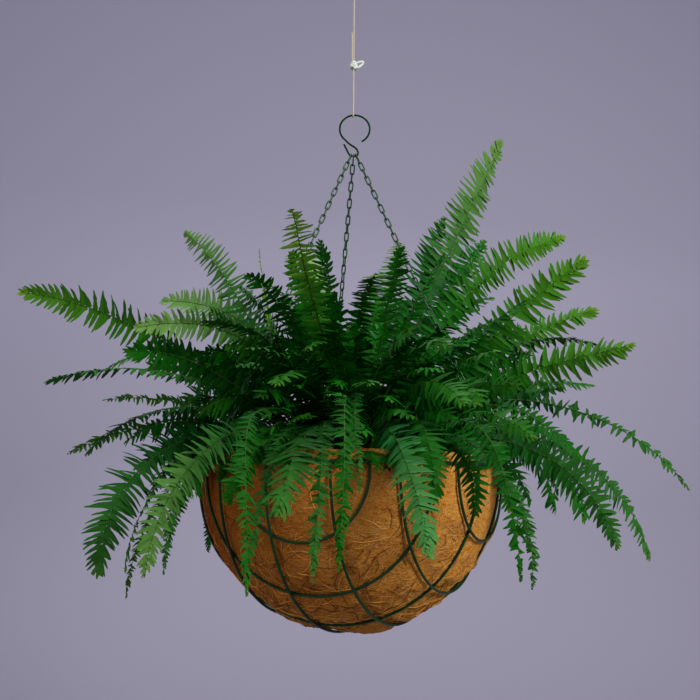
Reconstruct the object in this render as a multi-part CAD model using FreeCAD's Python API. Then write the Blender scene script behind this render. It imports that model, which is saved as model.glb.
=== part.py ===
import FreeCAD, Part
import math
import os
import random

os.makedirs("parts", exist_ok=True)
V = FreeCAD.Vector

# All lengths are in millimetres. The frame: the origin is the inside top of the
# cord's hanging loop, +Z is up, -Y is the front and +X is to the right.
# The 14 inch basket hangs RIM_Z below the origin.

# ---- driving dimensions ----
RIM_Z = -672.0            # rim wire's centre plane
RIM_R = 176.0             # 14 inch rim, wire centreline radius
RIM_WIRE = 4.0
RIB_WIRE = 3.0
BOWL_DROP = 7.4           # bowl sphere's centre is this far below the rim plane
BOWL_INSET = 1.5          # the inner ribs' sphere is this much smaller than the rim
INNER_BOWL_R = RIM_R - BOWL_INSET
LAYER = 2.98              # step from inner ribs to outer ribs, welded where they cross
RIB_STEP = 22.0           # degrees of arc between neighbouring ribs of one layer
INNER_AZ = -108.0         # the direction across the inner ribs
OUTER_AZ = -28.4          # the direction across the outer ribs
RIB_TOP = -1.0            # ribs end this far below the rim's centre plane

COIR_GAP = 0.02           # from the inner ribs to the liner
COIR_T = 10.0
COIR_PROUD = 12.0         # liner above the rim plane
SOIL_GAP = 0.0
SOIL_TOP = -10.0          # soil's edge below the rim plane

CROWN_R = 122.0           # dense heart of the fern
CROWN_H = 105.0
CROWN_Z = 5.0             # its widest level, above the rim plane

CHAIN_AZ = (-15.5, -146.0, 101.2)
TOP_Z = 397.0             # eye bar's centreline, above the rim plane
HOOK_WIRE = 2.5
RING_R = 19.5             # hook ring, centreline radius
RING_X = 2.0
RING_Z = 434.5            # ring's centre above the rim plane
BAR_X = 0.7               # middle of the eye's bottom bar

CHAIN_WIRE = 1.8
LINK_A = 7.4              # half the link's outer length
LINK_B = 3.3              # half the link's outer width
LINK_END = 2.35           # centreline radius of the link's ends
CHAIN_GAP = 0.1           # running gap between links
EYE_GAP = 0.36            # running gap between the hook's bar and the top links
CLIP_WIRE = 2.2

TWINE_D = 2.0
KNOT_Z = 527.0            # knot's middle above the rim plane


def up(z):
    """A height above the rim plane, in the part's frame."""
    return RIM_Z + z


def export(name, shape):
    shape.exportStep("parts/" + name + ".step")
    print(name, len(shape.Solids), len(shape.Faces), round(shape.Volume, 1))


def biarc(p1, t1, p2, t2):
    """Two arcs in a row that leave p1 along t1 and reach p2 along t2, or a line."""
    v, t = p2 - p1, t1 + t2
    if t1.getAngle(v) < 1e-4 and t2.getAngle(v) < 1e-4:
        return [Part.makeLine(p1, p2)]
    bend = 2.0 * (1.0 - t1.dot(t2))
    if bend < 1e-9:
        d = v.dot(v) / (4.0 * v.dot(t2))
    else:
        d = (-v.dot(t) + math.sqrt(v.dot(t) ** 2 + bend * v.dot(v))) / bend
    joint = (p1 + t1 * d + p2 - t2 * d) * 0.5
    out = []
    for a, corner, b in ((p1, p1 + t1 * d, joint), (joint, p2 - t2 * d, p2)):
        half = (b - a) * 0.5
        rise = corner - a - half
        if rise.Length < 1e-5:
            out.append(Part.makeLine(a, b))
            continue
        phi = math.atan2(rise.Length, half.Length)
        out.append(Part.Arc(a, a + half + rise * (math.tan(phi / 2.0) / math.tan(phi)), b).toShape())
    return out


def arcs(curve, n):
    """A smooth curve as the arcs that a wire bender would make, in n steps."""
    f, l = curve.FirstParameter, curve.LastParameter
    at = [f + (l - f) * k / n for k in range(n + 1)]
    out = []
    for a, b in zip(at, at[1:]):
        out += biarc(curve.value(a), V(*curve.tangent(a)[0]).normalize(), curve.value(b), V(*curve.tangent(b)[0]).normalize())
    return out


def tube(corners, d):
    """Round twine along the smooth line inside the corners: it touches each leg at its middle."""
    c = Part.BSplineCurve()
    spans = len(corners) - 2
    c.buildFromPolesMultsKnots([V(*p) for p in corners], [3] + [1] * (spans - 1) + [3], [float(k) for k in range(spans + 1)], False, 2)
    return sweep(Part.Wire(arcs(c, spans)), d)


def sweep(path, d):
    e = path.Edges[0]
    p = e.valueAt(e.FirstParameter)
    t = e.tangentAt(e.FirstParameter)
    ring = Part.Wire([Part.makeCircle(d / 2.0, p, t)])
    s = path.makePipeShell([ring], True, True)
    if s.ShapeType != "Solid":
        s = Part.Solid(s)
    return s


def ball(size, at):
    """A rounded body of the given half sizes."""
    b = Part.makeSphere(1.0)
    m = FreeCAD.Matrix()
    m.scale(*size)
    b = b.transformGeometry(m)
    b.translate(V(*at))
    return b


# ---- rim and ribs ----
rim = Part.makeTorus(RIM_R, RIM_WIRE / 2.0, V(0, 0, RIM_Z), V(0, 0, 1))
export("rim_ring", rim)


def rib(offset_deg, azimuth, bowl_r):
    """One wire of the bowl: an arc in a vertical plane, butt-welded under the rim."""
    d = bowl_r * math.sin(math.radians(offset_deg))
    arc_r = math.sqrt(bowl_r ** 2 - d ** 2)
    a = math.radians(azimuth)
    n = V(math.cos(a), math.sin(a), 0)
    m = V(-math.sin(a), math.cos(a), 0)
    c = V(0, 0, up(-BOWL_DROP)) + n * d
    t = math.asin((BOWL_DROP + RIB_TOP) / arc_r)

    def at(u):
        return c + m * (arc_r * math.cos(u)) + V(0, 0, arc_r * math.sin(u))

    arc = Part.Arc(at(t), at(-math.pi / 2), at(-math.pi - t)).toShape()
    return sweep(Part.Wire([arc]), RIB_WIRE).cut(rim)


for layer, azimuth, bowl_r in (("inner", INNER_AZ, INNER_BOWL_R), ("outer", OUTER_AZ, INNER_BOWL_R + LAYER)):
    for k in range(7):
        export("%s_rib_%d" % (layer, k + 1), rib((k - 3) * RIB_STEP, azimuth, bowl_r))


# ---- coir liner and potting soil ----
def bowl_profile(r, top_r, top_z):
    """Outline points of a bowl: its arc from the axis up to top_r, then a wall to top_z."""
    c = up(-BOWL_DROP)
    z1 = c + math.sqrt(max(r * r - top_r * top_r, 0.0))
    a1 = math.atan2(z1 - c, top_r)
    am = (a1 - math.pi / 2) / 2
    return (V(0, 0, c - r), V(r * math.cos(am), 0, c + r * math.sin(am)), V(top_r, 0, z1), V(top_r, 0, up(top_z)))


coir_r = INNER_BOWL_R - RIB_WIRE / 2.0 - COIR_GAP
o = bowl_profile(coir_r, coir_r - 0.3, COIR_PROUD)
i = bowl_profile(coir_r - COIR_T, coir_r - COIR_T - 0.3, COIR_PROUD)
face = Part.Face(Part.Wire([
    Part.Arc(o[0], o[1], o[2]).toShape(), Part.makeLine(o[2], o[3]), Part.makeLine(o[3], i[3]),
    Part.makeLine(i[3], i[2]), Part.Arc(i[2], i[1], i[0]).toShape(), Part.makeLine(i[0], o[0])]))
liner = face.revolve(V(0, 0, RIM_Z), V(0, 0, 1), 360)
for azimuth in CHAIN_AZ:
    # the coir is pressed in where a rim clip passes behind the rim wire
    dent = Part.makeBox(7.0, 6.0, 40.0, V(RIM_R - 5.6, -3.0, up(-6.5)))
    dent.rotate(V(0, 0, 0), V(0, 0, 1), azimuth)
    liner = liner.cut(dent)
export("coir_liner", liner)

s = bowl_profile(coir_r - COIR_T - SOIL_GAP, coir_r - COIR_T - SOIL_GAP - 0.3, SOIL_TOP)
c0 = up(-BOWL_DROP)
sr = coir_r - COIR_T - SOIL_GAP
s_top = V(math.sqrt(sr ** 2 - (up(SOIL_TOP) - c0) ** 2), 0, up(SOIL_TOP))
a1 = math.atan2(s_top.z - c0, s_top.x)
s_mid = V(sr * math.cos((a1 - math.pi / 2) / 2), 0, c0 + sr * math.sin((a1 - math.pi / 2) / 2))
face = Part.Face(Part.Wire([
    Part.Arc(s[0], s_mid, s_top).toShape(), Part.makeLine(s_top, V(0, 0, s_top.z)),
    Part.makeLine(V(0, 0, s_top.z), s[0])]))
export("potting_soil", face.revolve(V(0, 0, RIM_Z), V(0, 0, 1), 360))

# ---- the fern's heart: a dome that sits on the soil ----
dome = ball((CROWN_R, CROWN_R, CROWN_H), (0, 0, up(CROWN_Z)))
dome = dome.common(Part.makeCylinder(400, 400, V(0, 0, up(SOIL_TOP))))

# ---- fronds ----
# name, azimuth, launch angle, end angle, length, sideways sweep, power of the droop, width, roll
FRONDS = (
    ("frond_01", -175, 38, 6, 335, -2, 1.5, 46, 60),
    ("frond_02", -165, 58, -20, 210, 0, 1.0, 30, 35),
    ("frond_03", 155, 60, 3, 288, -4, 1.0, 38, 55),
    ("frond_04", 173, 58, 29, 325, -48, 2.5, 34, 50),
    ("frond_05", -105, 53, 0, 275, 14, 1.0, 38, 0),
    ("frond_06", 130, 80, 14, 335, -36, 1.0, 34, 10),
    ("frond_07", 66, 68, 26, 400, 20, 1.0, 38, 15),
    ("frond_08", -75, 84, -26, 196, -11, 1.0, 26, 0),
    ("frond_09", 27, 66, 56, 455, 18, 1.0, 44, 60),
    ("frond_10", 10, 61, 17, 335, 12, 1.5, 40, 50),
    ("frond_11", -1, 46, 32, 262, -14, 2.5, 42, 55),
    ("frond_12", 28, 43, 16, 287, -44, 1.0, 38, 50),
    ("frond_13", 5, 34, 4, 250, -46, 1.0, 44, 60),
    ("frond_14", -31, 27, -58, 298, 30, 1.0, 26, 50),
    ("frond_15", -1, 18, -78, 312, 13, 1.0, 52, 40),
    ("frond_16", -35, 14, -75, 236, 22, 1.0, 42, 30),
    ("frond_17", -61, 14, -94, 300, -26, 1.5, 34, 10),
    ("frond_18", 171, 18, -26, 256, -2, 1.0, 30, 45),
    ("frond_19", 155, 27, -7, 250, 22, 1.0, 24, 50),
    ("frond_20", -161, 15, -92, 258, 52, 1.0, 50, 45),
    ("frond_21", 141, 14, -85, 420, 4, 1.0, 28, 20),
    ("frond_22", -125, 15, -78, 268, 15, 1.0, 36, 20),
    ("frond_23", -114, 20, -73, 340, 44, 1.0, 30, 0),
    ("frond_24", -112, 14, -72, 150, -33, 1.0, 30, 0),
    ("frond_25", -100, 14, -51, 240, 3, 1.0, 52, 0),
    ("frond_26", -90, 18, -92, 325, -5, 1.5, 26, 0),
    ("frond_27", -80, 14, -72, 238, 6, 1.0, 40, 0),
    ("frond_28", 45, 20, -60, 300, 10, 1.0, 44, 0),
    ("frond_29", 84, 26, -55, 320, 8, 1.0, 46, 0),
    ("frond_30", 118, 16, -60, 300, -6, 1.0, 44, 0),
)
BLADE_T = 1.6             # rachis and folded leaflets, as one blade
STEM_W = 3.0
LEAFLET_STEP = 15.0       # one tooth of the blade's edge stands for a pair of leaflets
PROFILE = ((0.0, 0.0), (0.08, 0.0), (0.16, 0.45), (0.25, 0.8), (0.38, 1.0), (0.55, 0.92), (0.75, 0.66), (0.9, 0.34), (1.0, 0.0))


def crown_point(a, e):
    """The dome's point whose outward direction has azimuth a and elevation e, and that direction."""
    n = V(math.cos(e) * math.cos(a), math.cos(e) * math.sin(a), math.sin(e))
    k = math.sqrt((CROWN_R * n.x) ** 2 + (CROWN_R * n.y) ** 2 + (CROWN_H * n.z) ** 2)
    return V(CROWN_R ** 2 * n.x / k, CROWN_R ** 2 * n.y / k, up(CROWN_Z) + CROWN_H ** 2 * n.z / k), n


def frond_line(azimuth, launch, end, length, sweep_deg, power, n=60):
    """Rachis points: it leaves the dome at the launch angle and bends to the end angle."""
    a, e0, e1, b = [math.radians(x) for x in (azimuth, launch, end, sweep_deg)]
    p, d = crown_point(a, e0)
    p = p + d * 0.02
    line = [p]
    for k in range(n):
        u = (k + 0.5) / n
        e = e0 + (e1 - e0) * u ** power
        h = a + b * u
        p = p + V(math.cos(e) * math.cos(h), math.cos(e) * math.sin(h), math.sin(e)) * (length / n)
        line.append(p)
    return line


def profile_width(u, w):
    for (u0, f0), (u1, f1) in zip(PROFILE, PROFILE[1:]):
        if u <= u1:
            return max(STEM_W, w * (f0 + (f1 - f0) * (u - u0) / (u1 - u0)))
    return STEM_W


def frond(azimuth, launch, end, length, sweep_deg, power, width, roll, plain=False):
    line = frond_line(azimuth, launch, end, length, sweep_deg, power)
    n = len(line) - 1
    if plain:
        stations = [u for u, _ in PROFILE]
    else:
        teeth = int(length * 0.9 / LEAFLET_STEP)
        stations = [0.0, 0.08]
        for k in range(teeth):
            u = 0.1 + 0.9 * k / teeth
            stations += [u + 0.25 * 0.9 / teeth, u + 0.9 * 0.9 / teeth]
    wires = []
    for j, u in enumerate(stations):
        x = u * n
        k = min(int(x), n - 1)
        p = line[k] + (line[k + 1] - line[k]) * (x - k)
        t = (line[min(k + 1, n)] - line[max(k - 1, 0)]).normalize()
        h0 = math.radians(azimuth + sweep_deg * u)
        h = V(-math.sin(h0), math.cos(h0), 0)
        h = (h - t * h.dot(t)).normalize()
        up_ = t.cross(h)
        r = math.radians(roll)
        side = h * math.cos(r) + up_ * math.sin(r)
        face_n = t.cross(side).normalize()
        w = profile_width(u, width) / 2.0
        if j > 1 and j % 2 and not plain:
            w = max(STEM_W / 2.0, w * 0.62)
        th = BLADE_T / 2.0
        c = [p + side * w + face_n * (0.35 * th), p + face_n * th, p - side * w + face_n * (0.35 * th),
             p - side * w - face_n * (0.35 * th), p - face_n * th, p + side * w - face_n * (0.35 * th)]
        wires.append(Part.makePolygon(c + [c[0]]))
    return Part.makeLoft(wires, True, True)


for row in FRONDS:
    export(row[0], frond(*row[1:]))

# ---- the rest of the leaves: seeded plain blades, each kept clear of all the others ----
# seed, tries, launch, droop, length, width, length in front (where the basket stays in view)
LAYERS = (
    (9, 90, (22, 50), (40, 85), (190, 290), (30, 42), (110, 160)),
    (11, 90, (10, 24), (50, 100), (130, 230), (28, 42), (70, 105)),
    (7, 80, (50, 84), (20, 70), (110, 175), (28, 40), (110, 175)),
    (10, 110, (14, 60), (40, 80), (95, 160), (30, 42), (80, 130)),
)
FRONT_AZ, FRONT_HALF = -90.0, 62.0
GOLDEN = 0.381966         # share of a turn from one try to the next
SPACING = 4.5             # of the points that stand for a blade
CLEAR = 8.2               # between two blades' points: the points' spacing both ways and the blades' thickness


class Space:
    """The room that blades and chains take up, as points in a grid of cubes."""

    def __init__(self, size):
        self.size, self.cells = size, {}

    def key(self, p):
        return tuple(int(math.floor(c / self.size)) for c in p)

    def add(self, points):
        for p in points:
            self.cells.setdefault(self.key(p), []).append(p)

    def near(self, points):
        """Whether any of the points lies within one cube's size of a point that is taken."""
        limit = self.size ** 2
        for p in points:
            x, y, z = self.key(p)
            for i in (x - 1, x, x + 1):
                for j in (y - 1, y, y + 1):
                    for k in (z - 1, z, z + 1):
                        for q in self.cells.get((i, j, k), ()):
                            if (p[0] - q[0]) ** 2 + (p[1] - q[1]) ** 2 + (p[2] - q[2]) ** 2 < limit:
                                return True
        return False


def blade_points(azimuth, launch, end, length, sweep, power, width, roll):
    """Points all over a frond's blade, heights above the rim plane."""
    a, e0, e1, b, r = [math.radians(x) for x in (azimuth, launch, end, sweep, roll)]
    nx, ny, nz = math.cos(e0) * math.cos(a), math.cos(e0) * math.sin(a), math.sin(e0)
    k = math.sqrt((CROWN_R * nx) ** 2 + (CROWN_R * ny) ** 2 + (CROWN_H * nz) ** 2)
    x, y, z = CROWN_R ** 2 * nx / k, CROWN_R ** 2 * ny / k, CROWN_Z + CROWN_H ** 2 * nz / k
    n = int(length / SPACING)
    out = []
    for i in range(n):
        u = (i + 0.5) / n
        e, h = e0 + (e1 - e0) * u ** power, a + b * u
        x += math.cos(e) * math.cos(h) * length / n
        y += math.cos(e) * math.sin(h) * length / n
        z += math.sin(e) * length / n
        side = (-math.sin(h) * math.cos(r) - math.sin(e) * math.cos(h) * math.sin(r),
                math.cos(h) * math.cos(r) - math.sin(e) * math.sin(h) * math.sin(r), math.cos(e) * math.sin(r))
        w = profile_width(u, width) / 2.0
        m = max(1, int(math.ceil(w / SPACING)))
        for j in range(-m, m + 1):
            out.append((x + side[0] * w * j / m, y + side[1] * w * j / m, z + side[2] * w * j / m))
    return out


def clear_of_bowl(points):
    for x, y, z in points:
        r = math.hypot(x, y)
        if z < COIR_PROUD + CLEAR and r < RIM_R + CLEAR and (z < SOIL_TOP or r > RIM_R - COIR_T - CLEAR):
            return False
        if z < 0 and math.sqrt(r * r + (z + BOWL_DROP) ** 2) < RIM_R + CLEAR:
            return False
    return True


def chain_points():
    """Points round the three chains' lines, from the eye's bar to the rim."""
    out = []
    n = int(math.hypot(TOP_Z, RIM_R) / SPACING)
    for azimuth in CHAIN_AZ:
        a = math.radians(azimuth)
        for k in range(n + 1):
            u = k / n
            x, y, z = RIM_R * math.cos(a) * u, RIM_R * math.sin(a) * u, TOP_Z * (1 - u)
            out += [(x + dx * LINK_B, y + dy * LINK_B, z) for dx, dy in ((1, 0), (-1, 0), (0, 1), (0, -1))]
    return out


def fill_rows():
    """The filler fronds' rows, in the FRONDS table's order of values."""
    space = Space(CLEAR)
    space.add(chain_points())
    for row in FRONDS:
        space.add(blade_points(*row[1:]))
    rows = []
    for seed, tries, launch, droop, length, width, front in LAYERS:
        dice = random.Random(seed)
        for k in range(tries):
            az = -180 + 360 * (k * GOLDEN % 1)
            e = dice.uniform(*launch)
            lean, sweep, power = dice.uniform(*droop), dice.uniform(-35, 35), dice.uniform(1.0, 1.6)
            wide, roll, share = dice.uniform(*width), dice.uniform(-20, 60), dice.random()
            ahead = abs((az - FRONT_AZ + 180) % 360 - 180) < FRONT_HALF
            low, high = front if ahead else length
            row = (az, e, e - lean, low + (high - low) * share, sweep, power, wide, roll)
            points = blade_points(*row)
            if clear_of_bowl(points) and not space.near(points):
                space.add(points)
                rows.append(row)
    return rows


fill = [frond(*row, plain=True) for row in fill_rows()]
print("filler fronds", len(fill))
export("fern_crown", Part.Compound([dome] + fill))

# ---- hook: one wire, bent into an open ring with a closed eye below it ----
hook_z = up(RING_Z)


def ring_point(deg):
    a = math.radians(deg)
    return V(RING_X + RING_R * math.cos(a), 0, hook_z + RING_R * math.sin(a))


RING_START, RING_END = -62.0, 228.0
arc = Part.Arc(ring_point(RING_START), ring_point((RING_START + RING_END) / 2), ring_point(RING_END))
j = ring_point(RING_END)
a_end = math.radians(RING_END)
bar = up(TOP_Z)
BAR_HALF = 3.5             # outer chains' offset along the eye's bottom bar
eye_pts = [
    j, V(-5.6, 0, bar + 17.6), V(-0.4, 0, bar + 13.8), V(3.8, 0, bar + 10.6), V(6.1, 0, bar + 6.6),
    V(6.2, 0, bar + 2.6), V(BAR_X + BAR_HALF, 0, bar + 0.15), V(BAR_X, 0, bar), V(BAR_X - BAR_HALF, 0, bar + 0.15),
    V(-5.0, 0, bar + 2.4), V(-7.4, 0, bar + 7.0), V(-9.6, 0, bar + 11.6), V(-11.8, 0, bar + 16.2)]
eye = Part.BSplineCurve()
eye.interpolate(Points=eye_pts, InitialTangent=V(-math.sin(a_end), 0, math.cos(a_end)) * 6.0, FinalTangent=V(-2.2, 0, 4.8))
EYE_BENDS = 16
hook = sweep(Part.Wire([arc.toShape()] + arcs(eye, EYE_BENDS)), HOOK_WIRE)
export("hanger_hook", hook)


# ---- chains ----
def link(a_out, b_out, r_end, d):
    """A four-centre oval link about the origin: long axis Z, its plane XZ."""
    a, b = a_out - d / 2.0, b_out - d / 2.0
    big = ((a - r_end) ** 2 + b ** 2 - r_end ** 2) / (2.0 * (b - r_end))
    ez = a - r_end
    cx = b - big
    ang = math.atan2(ez, -cx)
    j1 = V(cx + big * math.cos(ang), 0, big * math.sin(ang))

    def m(x, z):
        return V(x, 0, z)

    w = Part.Wire([
        Part.Arc(m(j1.x, -j1.z), m(b, 0), m(j1.x, j1.z)).toShape(),
        Part.Arc(m(j1.x, j1.z), m(0, a), m(-j1.x, j1.z)).toShape(),
        Part.Arc(m(-j1.x, j1.z), m(-b, 0), m(-j1.x, -j1.z)).toShape(),
        Part.Arc(m(-j1.x, -j1.z), m(0, -a), m(j1.x, -j1.z)).toShape()])
    e = w.Edges[0]
    ring = Part.Wire([Part.makeCircle(d / 2.0, e.valueAt(e.FirstParameter), e.tangentAt(e.FirstParameter))])
    s = w.makePipeShell([ring], True, True)
    return s if s.ShapeType == "Solid" else Part.Solid(s)


def place(shape, at, axis, plane_x):
    """A copy with its long axis along axis and its own X as near as it can be to plane_x."""
    z = V(axis).normalize()
    x = (plane_x - z * plane_x.dot(z)).normalize()
    y = z.cross(x)
    m = FreeCAD.Matrix(x.x, y.x, z.x, at.x, x.y, y.y, z.y, at.y, x.z, y.z, z.z, at.z, 0, 0, 0, 1)
    c = shape.copy()
    c.Placement = FreeCAD.Placement(m)
    return c


TOP_LINK_A = 8.4          # the top links go round the thicker hook wire
top_link = link(TOP_LINK_A, 3.6, 2.6, CHAIN_WIRE)
mid_link = link(LINK_A, LINK_B, LINK_END, CHAIN_WIRE)
CLIP_BEND = 2.5           # clip's upper bend, centreline radius
CLIP_RISE = 9.0           # that bend's centre above the rim's centre plane
CLIP_HUG = RIM_WIRE / 2.0 + 0.35 + CLIP_WIRE / 2.0

for k, azimuth in enumerate(CHAIN_AZ):
    a = math.radians(azimuth)
    out = V(math.cos(a), math.sin(a), 0)
    tan = V(-math.sin(a), math.cos(a), 0)
    bar_x = BAR_X + (BAR_HALF, -BAR_HALF, 0.0)[k]
    bar_at = V(bar_x, 0, bar + (0.15, 0.15, 0.0)[k])
    bend_at = out * (RIM_R - CLIP_HUG + CLIP_BEND) + V(0, 0, up(CLIP_RISE))
    d = V(bend_at - bar_at).normalize()
    length = (bend_at - bar_at).Length - CLIP_BEND
    # first bearing point: under the bar's wire; last: over the clip's wire
    first = HOOK_WIRE / 2.0 + EYE_GAP
    inner_top = TOP_LINK_A - CHAIN_WIRE
    inner_mid = LINK_A - CHAIN_WIRE
    # the top link hangs on the bar: its upper inner end rests on the bar's upper side
    top_at = -first + inner_top
    reach_top = top_at + inner_top
    last_at = length + (CLIP_WIRE / 2.0 + CHAIN_GAP) - inner_mid
    # between them, links one pitch apart
    span = last_at - inner_mid - reach_top
    pitch0 = 2.0 * inner_mid - CHAIN_GAP
    count = int(math.ceil(span / pitch0))
    pitch = (last_at - top_at - inner_top - inner_mid + 0.0) / (count + 0.0)
    solids = []
    total = count + 2
    # planes: the top link's plane is across the bar, the last link's plane is across the clip's wire
    side0 = V(0, 1, 0)
    side0 = (side0 - d * side0.dot(d)).normalize()
    side1 = tan
    s0 = d.cross(side0)
    ang1 = math.atan2(side1.dot(s0), side1.dot(side0))
    turns = round(((total - 1) * math.pi / 2 - ang1) / math.pi)
    end_angle = ang1 + turns * math.pi
    step = end_angle / (total - 1)
    for i_ in range(total):
        if i_ == 0:
            pos = top_at
        elif i_ == total - 1:
            pos = last_at
        else:
            pos = top_at + inner_top + inner_mid - CHAIN_GAP + (i_ - 1) * pitch
        ang = step * i_
        px = side0 * math.cos(ang) + s0 * math.sin(ang)
        solids.append(place(top_link if i_ == 0 else mid_link, bar_at + d * pos, d, px))
    chain = Part.Compound(solids)
    print("chain", k + 1, "links", total, "pitch", round(pitch, 3), "ideal", round(pitch0, 3), "twist per link", round(math.degrees(step), 2))
    export("chain_%d" % (k + 1), chain)

    # the clip: a flat S in the radial plane, its lower bend under the rim wire
    def rz(r, z):
        return out * (RIM_R + r) + V(0, 0, up(z))

    def bend(cr, cz, radius, degs):
        q = [rz(cr + radius * math.cos(math.radians(x)), cz + radius * math.sin(math.radians(x))) for x in degs]
        return Part.Arc(q[0], q[1], q[2]).toShape()

    upper = CLIP_BEND - CLIP_HUG
    path = Part.Wire([
        bend(0.0, 0.0, CLIP_HUG, (25.0, -77.5, -180.0)),
        Part.makeLine(rz(-CLIP_HUG, 0.0), rz(-CLIP_HUG, CLIP_RISE)),
        bend(upper, CLIP_RISE, CLIP_BEND, (180.0, 80.0, -20.0))])
    export("rim_clip_%d" % (k + 1), sweep(path, CLIP_WIRE))

# ---- twine ----
ring_top = hook_z + math.sqrt(RING_R ** 2 - RING_X ** 2)
knot = up(KNOT_Z)
BIGHT_GAP = 0.4
bight = HOOK_WIRE / 2.0 + BIGHT_GAP + TWINE_D / 2.0
KNOT_H = 9.0


def bight_corners():
    """Down from the knot, round under the ring's wire and up again."""
    side = [(0.0, -1.35, knot - KNOT_H / 2 + 0.15), (0.0, -1.5, knot - 22.0), (0.0, -1.9, ring_top + 22.0), (0.0, -bight, ring_top + 6.0)]
    corner = bight / math.cos(math.radians(22.5))
    under = []
    for deg in (202.5, 247.5, 292.5, 337.5):
        a = math.radians(deg)
        under.append((0.0, corner * math.cos(a), ring_top + corner * math.sin(a)))
    return side + under + [(x, -y, z) for x, y, z in reversed(side)]


export("cord_loop", tube(bight_corners(), TWINE_D))


# the knot, its cut end sticking out as an ear
EAR_LONG = 9.0
ear_at, ear_out = V(2.5, 0, knot - 0.5), V(1.0, 0, 0.18)
ear = Part.makeCone(2.6, 1.5, EAR_LONG, ear_at, ear_out)
tip = Part.makeSphere(1.5, ear_at + V(ear_out).normalize() * EAR_LONG)
trim = Part.makeBox(30, 30, KNOT_H - 0.3, V(-15, -15, knot - KNOT_H / 2 + 0.15))
export("cord_knot", ball((3.9, 3.4, KNOT_H / 2.0), (0.6, 0, knot)).fuse([ear, tip]).common(trim).removeSplitter())

# the standing twine, from just above the knot up into the hanging loop
TWINE_GAP = 0.3
above_knot = knot + KNOT_H / 2 + TWINE_GAP
TOP_KNOT_Z = -38.0
LOOP_TOP = TWINE_D / 2.0
rise = TOP_KNOT_Z - above_knot
standing = tube([
    (0, 0, above_knot), (0, 0, above_knot + rise / 3), (0, 0, above_knot + rise * 0.6), (0, 0, TOP_KNOT_Z - 8.0), (-0.8, 0, TOP_KNOT_Z),
    (-5.4, 0, -26.0), (-8.2, 0, -13.0), (-7.0, 0, -2.4), (-2.6, 0, LOOP_TOP),
    (2.6, 0, LOOP_TOP), (7.0, 0, -2.4), (8.2, 0, -13.0), (5.8, 0, -25.0), (3.2, 0, -31.6)], TWINE_D)
export("hanging_cord", standing)

# the twine's free end, lying beside the standing part above the knot
TAIL_X = -2.1
export("cord_tail", tube([(TAIL_X, 0, above_knot), (TAIL_X, 0, knot + 16.0), (TAIL_X, 0, knot + 30.0), (TAIL_X - 0.4, 0, knot + 46.0)], TWINE_D))

# the knot that closes the hanging loop, wrapped round both of its strands
export("top_knot", ball((4.6, 3.6, 5.0), (0.8, 0, TOP_KNOT_Z + 1.0)).cut(standing))
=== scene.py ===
"""A wire hanging basket with a coir liner, chains, ring hook and twine, planted with a Boston fern."""

import random
from math import acos, asin, atan2, ceil, cos, floor, hypot, pi, radians, sin, sqrt

import bpy
import numpy as np
from mathutils import Matrix, Vector, noise


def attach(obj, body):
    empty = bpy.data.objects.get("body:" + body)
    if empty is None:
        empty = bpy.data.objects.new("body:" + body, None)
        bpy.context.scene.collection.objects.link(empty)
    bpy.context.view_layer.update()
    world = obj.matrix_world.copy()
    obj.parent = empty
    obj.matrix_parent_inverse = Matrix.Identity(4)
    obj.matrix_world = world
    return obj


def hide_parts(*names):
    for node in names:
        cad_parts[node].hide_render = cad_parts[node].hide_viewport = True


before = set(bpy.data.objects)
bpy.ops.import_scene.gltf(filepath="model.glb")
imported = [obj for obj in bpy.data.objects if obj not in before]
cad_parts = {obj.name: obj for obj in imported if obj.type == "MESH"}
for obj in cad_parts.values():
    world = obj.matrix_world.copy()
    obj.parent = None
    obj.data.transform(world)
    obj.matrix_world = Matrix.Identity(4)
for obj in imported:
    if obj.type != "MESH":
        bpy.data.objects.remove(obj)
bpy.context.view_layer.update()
MM = 0.001

# ---- sizes shared with the CAD, in millimetres ----
RIM_Z = -672.0
RIM_R = 176.0
BOWL_DROP = 7.4
INNER_BOWL_R = 174.5
LAYER = 2.98
RIB_WIRE = 3.0
RIB_STEP = 22.0
INNER_AZ, OUTER_AZ = -108.0, -28.4
COIR_T, COIR_PROUD = 10.0, 12.0
COIR_GAP = 0.05           # between the liner and the wires outside it
COIR_R = INNER_BOWL_R - RIB_WIRE / 2.0 - COIR_GAP
SOIL_TOP = -10.0
CROWN_R, CROWN_H, CROWN_Z = 122.0, 105.0, 5.0
CHAIN_AZ = (-15.5, -146.0, 101.2)
TOP_Z = 397.0
TWINE_D = 2.0
HOOK_WIRE = 2.5
RING_R, RING_X, RING_Z = 19.5, 2.0, 434.5
KNOT_Z, KNOT_H = 527.0, 9.0
TOP_KNOT_Z = -38.0
TAIL_X = -2.1             # the free end's line beside the standing part
TWINE_GAP, BIGHT_GAP = 0.3, 0.4


def up(z):
    return RIM_Z + z


# ---- materials ----
def srgb(r, g, b):
    """A colour given as 0 to 255, as the linear colour that shaders take."""
    c = [x / 255.0 for x in (r, g, b)]
    return tuple(x / 12.92 if x <= 0.04045 else ((x + 0.055) / 1.055) ** 2.4 for x in c) + (1.0,)


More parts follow.
